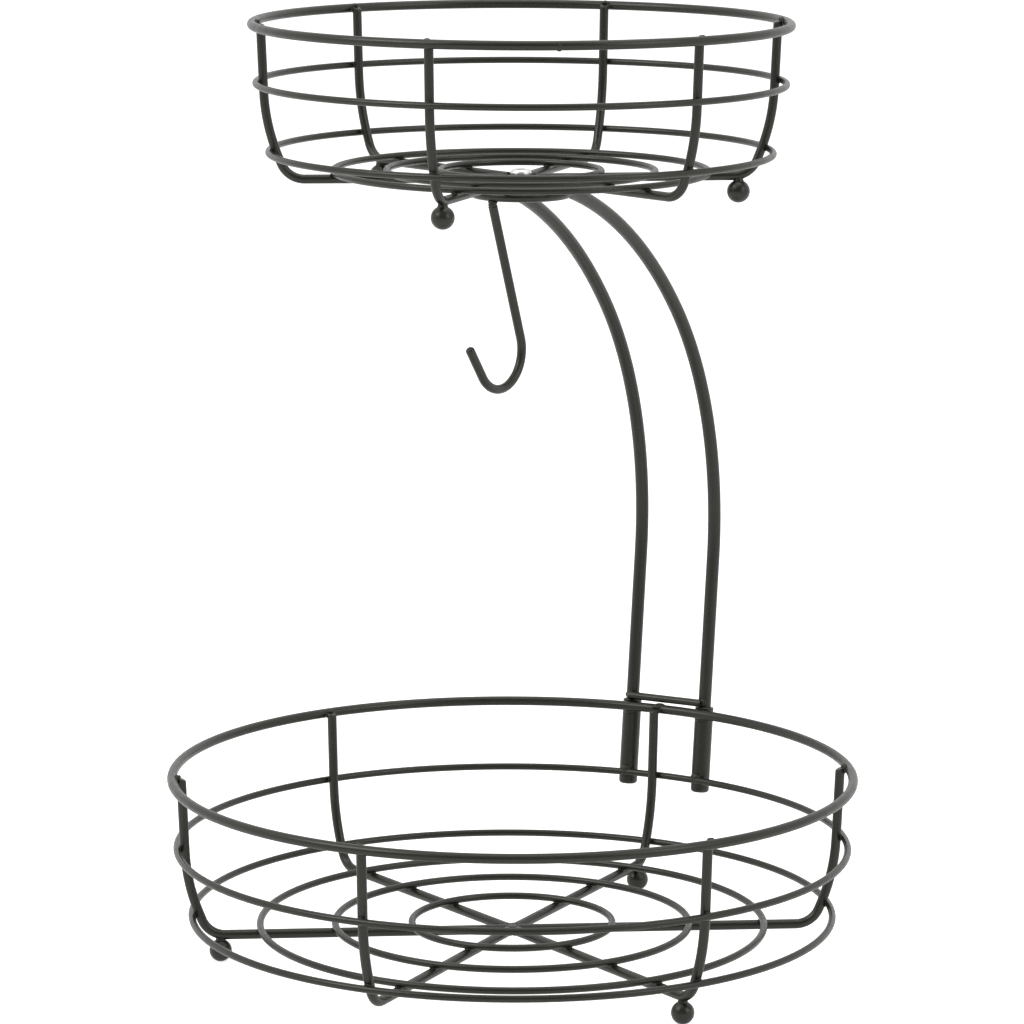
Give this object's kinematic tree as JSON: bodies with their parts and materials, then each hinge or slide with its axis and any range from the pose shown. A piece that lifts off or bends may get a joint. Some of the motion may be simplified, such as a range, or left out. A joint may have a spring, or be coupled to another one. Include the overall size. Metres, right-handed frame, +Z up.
{
  "type": "tiered wire basket",
  "caption": "Two-tier round wire fruit basket: bent twin-wire stand plugged into rim sockets, upper basket on a central screw, banana hook.",
  "frame": {"origin": "on the floor plane under the ball feet, on the lower basket's axis", "axes": "+Z up; +Y from the lower basket's axis to the middle between the two arms' sockets; +X to the right seen from the open front"},
  "size_m": [0.3045, 0.3191, 0.4149],
  "materials": {
    "black_coat": "satin black powder coat on mild steel wire",
    "bright_zinc": "bright zinc plated steel"
  },
  "bodies": {
    "lower_basket": {"lower_base_ring": "black_coat", "lower_floor_ring_inner": "black_coat", "lower_floor_ring_middle": "black_coat", "lower_floor_ring_outer": "black_coat", "lower_foot_a": "black_coat", "lower_foot_b": "black_coat", "lower_foot_c": "black_coat", "lower_middle_ring": "black_coat", "lower_rib_a": "black_coat", "lower_rib_b": "black_coat", "lower_rib_c": "black_coat", "lower_rib_d": "black_coat", "lower_rib_through": "black_coat", "lower_rim": "black_coat", "socket_left": "black_coat", "socket_right": "black_coat"},
    "stand": {"arm_left": "black_coat", "arm_right": "black_coat", "banana_hook": "black_coat", "basket_screw": "bright_zinc", "bridge_strap": "black_coat", "crossbar": "black_coat", "mounting_ring": "black_coat", "screw_nut": "bright_zinc", "screw_washer": "bright_zinc"},
    "upper_basket": {"upper_base_ring": "black_coat", "upper_floor_ring_inner": "black_coat", "upper_floor_ring_middle": "black_coat", "upper_floor_ring_outer": "black_coat", "upper_foot_a": "black_coat", "upper_foot_b": "black_coat", "upper_foot_c": "black_coat", "upper_hub": "black_coat", "upper_middle_ring": "black_coat", "upper_rib_a": "black_coat", "upper_rib_b": "black_coat", "upper_rib_c": "black_coat", "upper_rib_d": "black_coat", "upper_rib_e": "black_coat", "upper_rib_f": "black_coat", "upper_rim": "black_coat"}
  },
  "joints": [
    {"name": "stand_lift", "type": "slide", "parent": "lower_basket", "child": "stand", "axis": [0, 0.108, 0.9942], "range_m": [0, 0.045]},
    {"name": "basket_spin", "type": "hinge", "parent": "stand", "child": "upper_basket", "pos_m": [0, 0.00585, 0.346], "axis": [0, 0, 1], "continuous": true}
  ]
}
